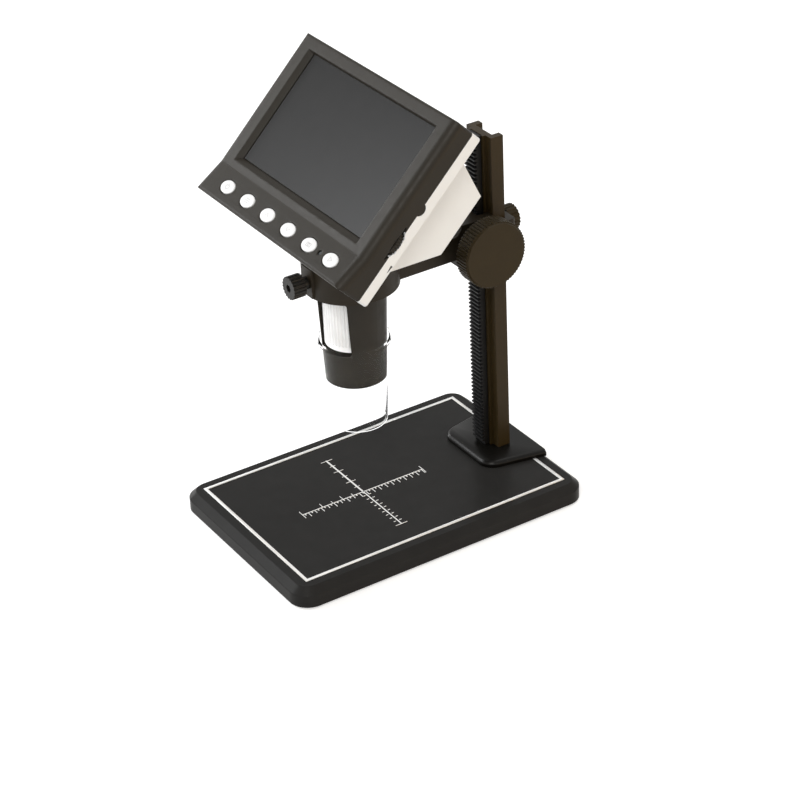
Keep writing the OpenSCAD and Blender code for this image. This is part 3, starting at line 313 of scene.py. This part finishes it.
slot_of = {part["node"]: part["material_slot"] for part in frame["record"]["subparts"]}
own_finish = {
    "base_plate": solid_finish("stage_paint", (0.0210, 0.0205, 0.0198), 0.34, spread=0.012,
                               grain=(0.5 * mm, 0.002 * mm), edge=0.6 * mm, specular=0.05),
    "column_foot": solid_finish("foot_casting", (0.0040, 0.0036, 0.0030), 0.30, spread=0.01,
                                grain=(0.5 * mm, 0.002 * mm), edge=0.5 * mm, specular=0.15),
    "clamp_screw": solid_finish("clamp_knob", (0.011, 0.0104, 0.0092), 0.40, edge=0.12 * mm,
                                specular=0.2),
    "indicator_lens": solid_finish("indicator_dark", (0.004, 0.008, 0.008), 0.25, coat=0.2),
}
for name, piece in frame["nodes"].items():
    piece.data.materials.clear()
    piece.data.materials.append(own_finish.get(name) or finishes[slot_of[name]])
print(len(finishes), "finishes on", len(frame["nodes"]), "pieces")

# %% [markdown]
# The head is tilted, so its small pieces are easiest to make flat, in the head's own frame, and
# then turned into place: x across the screen, y up it and z out of it. The button strip lies ten
# degrees flatter than the screen, and has a frame of its own inside the first.

# %% Frames of the tilted head
screen_lean, strip_lean = math.radians(45), math.radians(-10)
screen_middle = Vector((0, -14 * mm, 186.3 * mm))
strip_middle = Vector((1.7 * mm, -41.5 * mm, 3.711 * mm))
in_head = Matrix.Translation(screen_middle) @ Matrix.Rotation(screen_lean, 4, "X")
in_strip = in_head @ Matrix.Translation(strip_middle) @ Matrix.Rotation(strip_lean, 4, "X")
unmoved = Matrix.Identity(4)
weld, turn_steps = 0.001 * mm, 64


def keep(name, mesh, place, material, body):
    """Sets a bmesh in its place by a matrix, and makes it a piece that moves with a body."""
    mesh.transform(place)
    bmesh.ops.recalc_face_normals(mesh, faces=mesh.faces)
    data = bpy.data.meshes.new(name)
    mesh.to_mesh(data)
    mesh.free()
    data.materials.append(material)
    piece = bpy.data.objects.new(name, data)
    scene.collection.objects.link(piece)
    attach(piece, body)
    return piece


def smooth(piece, angle=35):
    for face in piece.data.polygons:
        face.use_smooth = True
    bpy.context.view_layer.objects.active = piece
    piece.select_set(True)
    bpy.ops.object.shade_smooth_by_angle(angle=math.radians(angle))
    piece.select_set(False)


def turned(profile, steps=turn_steps):
    """A solid of revolution about z from (radius, height) points, from the axis to the axis."""
    mesh = bmesh.new()
    rim = [mesh.verts.new((radius, 0, height)) for radius, height in profile]
    line = [mesh.edges.new(pair) for pair in zip(rim, rim[1:])]
    bmesh.ops.spin(mesh, geom=rim + line, cent=(0, 0, 0), axis=(0, 0, 1), dvec=(0, 0, 0),
                   angle=2 * math.pi, steps=steps, use_merge=True, use_duplicate=False)
    bmesh.ops.remove_doubles(mesh, verts=mesh.verts, dist=weld)
    return mesh


print("strip middle", [round(v, 4) for v in in_strip.translation])

# %% [markdown]
# A button is a white moulded cap with a soft edge and a slightly domed face. Its outline is an
# oval, longer along the strip, because it looks round from the camera although the strip is seen
# from the side. A turned profile gives the dome and the edge in one go, and one stretch makes the
# round cap an oval.

# %% Button caps
cap_radius, cap_proud, cap_edge, cap_dome = 3.25 * mm, 0.4 * mm, 0.35 * mm, 0.1 * mm
cap_stretch, dome_steps, corner_steps = 1.45, 6, 5
flange_radius, flange_top, flange_low = 4.1 * mm, -2.565 * mm, -3.365 * mm
stem_radius, stem_low = 1.2 * mm, -3.965 * mm
button_pitch, button_count = 17.04 * mm, 6


def cap_profile():
    dome = [(cap_radius - cap_edge) * i / dome_steps for i in range(dome_steps + 1)]
    face = [(r, cap_proud - cap_dome * (r / cap_radius) ** 2) for r in dome]
    corner = cap_proud - cap_dome - cap_edge
    edge = [(cap_radius - cap_edge + cap_edge * math.sin(a), corner + cap_edge * math.cos(a))
            for a in (math.radians(90 / corner_steps * k) for k in range(1, corner_steps + 1))]
    return face + edge + [(cap_radius, flange_top), (flange_radius, flange_top),
                          (flange_radius, flange_low), (stem_radius, flange_low),
                          (stem_radius, stem_low), (0, stem_low)]


def at_button(number):
    return in_strip @ Matrix.Translation(((number - (button_count + 1) / 2) * button_pitch, 0, 0))


for number in range(1, button_count + 1):
    shape = turned(cap_profile())
    bmesh.ops.scale(shape, vec=(cap_stretch, 1, 1), verts=shape.verts)
    cap = keep(f"button_cap_{number}", shape, at_button(number),
               finishes["white_button"], f"key_{number}")
    smooth(cap)
    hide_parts(f"button_{number}")
print("six caps,", len(cap.data.polygons), "faces each")

# %% [markdown]
# The front shell's holes follow the caps with a narrow gap. Its mesh comes from the construction
# as loose triangles, so its doubles are merged first. One Boolean modifier then closes the plain
# round holes with plugs, and a second takes the ovals out, which keeps every other wall and post.
# Weighted normals let the large flat faces decide how their edges shade.

# %% Oval holes in the front shell
hole_gap, hole_top, hole_low = 0.3 * mm, 1.0 * mm, -2.5 * mm
plug_radius, plug_top, plug_low = 4.3 * mm, -0.01 * mm, -2.2 * mm
shell_angle, flat_weight = 9, 100


def oval_tools(name, half_long, half_wide, low, high):
    """Six closed oval slugs along the strip, in one object, for a Boolean modifier."""
    slugs = bmesh.new()
    for number in range(1, button_count + 1):
        place = at_button(number) @ Matrix.Translation((0, 0, (high + low) / 2))
        place = place @ Matrix.Diagonal((half_long, half_wide, 1, 1))
        bmesh.ops.create_cone(slugs, cap_ends=True, segments=turn_steps, radius1=1, radius2=1,
                              depth=high - low, matrix=place)
    data = bpy.data.meshes.new(name)
    slugs.to_mesh(data)
    slugs.free()
    tool = bpy.data.objects.new(name, data)
    scene.collection.objects.link(tool)
    return tool


def apply_boolean(piece, tool, operation):
    step = piece.modifiers.new(tool.name, "BOOLEAN")
    step.operation, step.solver, step.object = operation, "EXACT", tool
    bpy.context.view_layer.objects.active = piece
    bpy.ops.object.modifier_apply(modifier=step.name)
    bpy.data.objects.remove(tool)


shell_mesh = bmesh.new()
shell_mesh.from_mesh(frame["nodes"]["front_bezel"].data)
bmesh.ops.remove_doubles(shell_mesh, verts=shell_mesh.verts, dist=weld)
shell = keep("front_shell", shell_mesh, unmoved, finishes["black_shell"], "head")
apply_boolean(shell, oval_tools("plugs", plug_radius, plug_radius, plug_low, plug_top), "UNION")
apply_boolean(shell, oval_tools("ovals", cap_radius * cap_stretch + hole_gap, cap_radius + hole_gap,
                                hole_low, hole_top), "DIFFERENCE")
smooth(shell, shell_angle)
flat_first = shell.modifiers.new("flat_faces_first", "WEIGHTED_NORMAL")
flat_first.keep_sharp, flat_first.weight = True, flat_weight
bpy.context.view_layer.objects.active = shell
bpy.ops.object.modifier_apply(modifier=flat_first.name)
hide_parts("front_bezel")
print("front shell", len(shell.data.polygons), "faces")

# %% [markdown]
# The column's foot is cast, and a casting has no sharp rim: the mould is rounded there so that the
# metal fills it and the draft lets it go. The rounding runs around the front and the sides, where
# it catches the light, and stops at the straight back. One bevel of the construction's own rim
# edges makes it, so the outline and the screw holes stay as they are. Its profile lies between a
# flat chamfer and a full round, because the highlight on the real rim is broad and even.

# %% Rounded rim of the foot
foot_top, foot_back, level_slack = 13.2 * mm, 74 * mm, 0.01 * mm
screws_x, screws_low, screws_high = 8 * mm, 50 * mm, 73 * mm
foot_round, round_steps, round_profile = 1.6 * mm, 5, 0.34
sharp_turn, flat_turn = 1, math.radians(0.5)


def on_rim(edge):
    """Whether an edge of the foot's top lies on its outline, and not at the back or at a screw."""
    middle = (edge.verts[0].co + edge.verts[1].co) / 2
    near_screws = abs(middle.x) < screws_x and screws_low < middle.y < screws_high
    level = all(abs(v.co.z - foot_top) < level_slack for v in edge.verts)
    sharp = edge.calc_face_angle(0) > sharp_turn
    return level and middle.y < foot_back and not near_screws and sharp


foot_mesh = bmesh.new()
foot_mesh.from_mesh(frame["nodes"]["column_foot"].data)
bmesh.ops.remove_doubles(foot_mesh, verts=foot_mesh.verts, dist=weld)
bmesh.ops.dissolve_limit(foot_mesh, angle_limit=flat_turn, verts=foot_mesh.verts,
                         edges=foot_mesh.edges)
rim = [edge for edge in foot_mesh.edges if on_rim(edge)]
bmesh.ops.bevel(foot_mesh, geom=rim, offset=foot_round, offset_type="OFFSET", affect="EDGES",
                segments=round_steps, profile=round_profile, material=-1)
foot = keep("rounded_foot", foot_mesh, unmoved, own_finish["column_foot"], "base")
smooth(foot)
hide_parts("column_foot")
print("rounded foot", len(rim), "rim edges,", len(foot.data.polygons), "faces")

# %% [markdown]
# Each cap carries a small grey sign. A sign is a few lines of points in millimetres, each stroke
# from one point to the next is a thin slab, and the slab stands a hair above the dome so that it
# reads as print. A picture on the cap could do the same, but slabs stay sharp at any distance.

# %% Signs on the caps
sign_width, sign_height, sign_lift = 0.22 * mm, 0.03 * mm, 0.385 * mm
finishes["grey_print"] = solid_finish("grey_print", (0.48, 0.48, 0.48), 0.5,
                                      grain=(0.4 * mm, 0.0), edge=0.01 * mm)


def ring(radius, begin=0, end=360, steps=16):
    turn = [math.radians(begin + (end - begin) * i / steps) for i in range(steps + 1)]
    return [(radius * math.cos(a), radius * math.sin(a)) for a in turn]


signs = {
    1: [ring(1.2, 125, 415), [(0, 0.5), (0, 1.6)]],
    2: [[(-1.3, 0.9), (1.3, 0.9)], [(-1.3, 0), (1.3, 0)], [(-1.3, -0.9), (1.3, -0.9)]],
    3: [[(-1.1, -0.6), (0, 0.7), (1.1, -0.6)]],
    4: [[(-1.1, 0.6), (0, -0.7), (1.1, 0.6)]],
    5: [[(-1.4, -0.9), (-1.4, 0.7), (1.4, 0.7), (1.4, -0.9), (-1.4, -0.9)], ring(0.55)],
    6: [[(-0.7, -1.1), (-0.7, 1.1), (1.1, 0), (-0.7, -1.1)]],
}


def stroke(mesh, begin, end, width, low, high):
    """A thin slab from one point to the next, with square ends that overlap its neighbours."""
    begin, end = Vector(begin), Vector(end)
    along = (end - begin).normalized() * width / 2
    across = Vector((-along.y, along.x))
    plan = [begin - along - across, end + along - across, end + along + across, begin - along + across]
    foot = [mesh.verts.new((*corner, low)) for corner in plan]
    made = bmesh.ops.extrude_face_region(mesh, geom=[mesh.faces.new(foot)])["geom"]
    top = [part for part in made if isinstance(part, bmesh.types.BMVert)]
    bmesh.ops.translate(mesh, verts=top, vec=(0, 0, high - low))


for number, strokes in signs.items():
    print_mesh = bmesh.new()
    for line in strokes:
        for begin, end in zip(line, line[1:]):
            stroke(print_mesh, [v * mm for v in begin], [v * mm for v in end], sign_width,
                   sign_lift - sign_height, sign_lift + sign_height)
    keep(f"button_sign_{number}", print_mesh, at_button(number), finishes["grey_print"],
         f"key_{number}")
print(len(signs), "signs")

# %% [markdown]
# The stage is screen printed: a white frame line, and a cross that carries small scales. To the
# right of its upright line are fine marks, from front to back, with short blocks between them.
# Coarser marks cross the left arm and stand to the left of the front one, and pairs of dashes
# follow the right arm. The frame line is the construction's own, and the cross is drawn again with
# all its marks. Each one is a low slab, which stays sharp where a picture would blur.

# %% Printed scale
cross_y, cross_reach, cross_clear = -11 * mm, 32.4 * mm, 36 * mm
ink_low, ink_line, ink_mark, ink_dot = 10.0 * mm, 10.2 * mm, 10.17 * mm, 10.15 * mm
left_line, right_line, upright_line = 0.72 * mm, 0.5 * mm, 0.36 * mm
end_half, end_line = 2.9 * mm, 0.28 * mm
fine_first, fine_step, fine_count = -29.45 * mm, 3.4 * mm, 19
fine_short, fine_long, fine_line = 2.2 * mm, 3.1 * mm, 0.3 * mm
midway_reach, midway_line = 0.9 * mm, 0.5 * mm
coarse_step, coarse_line, left_count, front_count = 5.4 * mm, 0.25 * mm, 5, 4
left_short, left_long, front_short, front_long = 1.3 * mm, 2.4 * mm, 1.8 * mm, 3.0 * mm
dot_step, dot_line, dot_count, dot_near, dot_far = 3.24 * mm, 0.36 * mm, 9, 1.1 * mm, 1.9 * mm


def cross_strokes():
    """Begin, end, width and top of each stroke, measured from the middle of the cross."""
    yield (-cross_reach, 0), (0, 0), left_line, ink_line
    yield (0, 0), (cross_reach, 0), right_line, ink_line
    yield (0, -cross_reach), (0, cross_reach), upright_line, ink_line
    for tip in (-cross_reach, cross_reach):
        yield (tip, -end_half), (tip, end_half), end_line, ink_mark
        yield (-end_half, tip), (end_half, tip), end_line, ink_mark
    for i in range(fine_count):
        place = fine_first + i * fine_step
        midway = place - fine_step / 2
        reach = fine_short if place < 0 and i % 2 else fine_long
        yield (0, place), (reach, place), fine_line, ink_mark
        yield (0, midway), (midway_reach, midway), midway_line, ink_dot
    for i in range(1, left_count + 1):
        place, half = -i * coarse_step, left_short if i % 2 else left_long
        yield (place, -half), (place, half), coarse_line, ink_mark
    for i in range(1, front_count + 1):
        place, reach = -i * coarse_step, front_short if i % 2 else front_long
        yield (0, place), (-reach, place), coarse_line, ink_mark
    for i in range(1, dot_count + 1):
        place = i * dot_step
        for way in (-1, 1):
            yield (place, way * dot_near), (place, way * dot_far), dot_line, ink_dot


scale_mesh = bmesh.new()
scale_mesh.from_mesh(frame["nodes"]["scale_print"].data)
bmesh.ops.remove_doubles(scale_mesh, verts=scale_mesh.verts, dist=weld)
old_cross = [v for v in scale_mesh.verts
             if abs(v.co.x) < cross_clear and abs(v.co.y - cross_y) < cross_clear]
bmesh.ops.delete(scale_mesh, geom=old_cross, context="VERTS")
for begin, end, width, top in cross_strokes():
    stroke(scale_mesh, (begin[0], begin[1] + cross_y), (end[0], end[1] + cross_y), width, ink_low, top)
scale = keep("stage_scale", scale_mesh, unmoved, finishes["white_print"], "base")
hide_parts("scale_print")
print("printed scale", len(scale.data.polygons), "faces, frame line kept")

# %% [markdown]
# The rear shell's rim has a printed wedge beside the wheel, thin at one end and thick at the other,
# which shows the way to turn for more light. Three corners and one extrusion are all it needs.

# %% Brightness wedge
side_x, wedge_depth, wedge_half = 59.7 * mm, 0.03 * mm, 0.55 * mm
wedge_low, wedge_high, wedge_z = -33.2 * mm, -29.4 * mm, -12.1 * mm
on_side = in_head @ Matrix.Translation((side_x, 0, 0)) @ Matrix.Rotation(math.radians(90), 4, "Y")
wedge = bmesh.new()
plan = [(-wedge_z, wedge_low), (-wedge_z + wedge_half, wedge_high),
        (-wedge_z - wedge_half, wedge_high)]
outline = wedge.faces.new([wedge.verts.new((*corner, -wedge_depth)) for corner in plan])
made = bmesh.ops.extrude_face_region(wedge, geom=[outline])["geom"]
bmesh.ops.translate(wedge, verts=[v for v in made if isinstance(v, bmesh.types.BMVert)],
                    vec=(0, 0, 2 * wedge_depth))
finishes["black_print"] = solid_finish("black_print", (0.02, 0.02, 0.02), 0.5,
                                       grain=(0.4 * mm, 0.0), edge=0.01 * mm)
keep("brightness_wedge", wedge, on_side, finishes["black_print"], "head")
print("wedge", round(wedge_high - wedge_low, 5), "long")
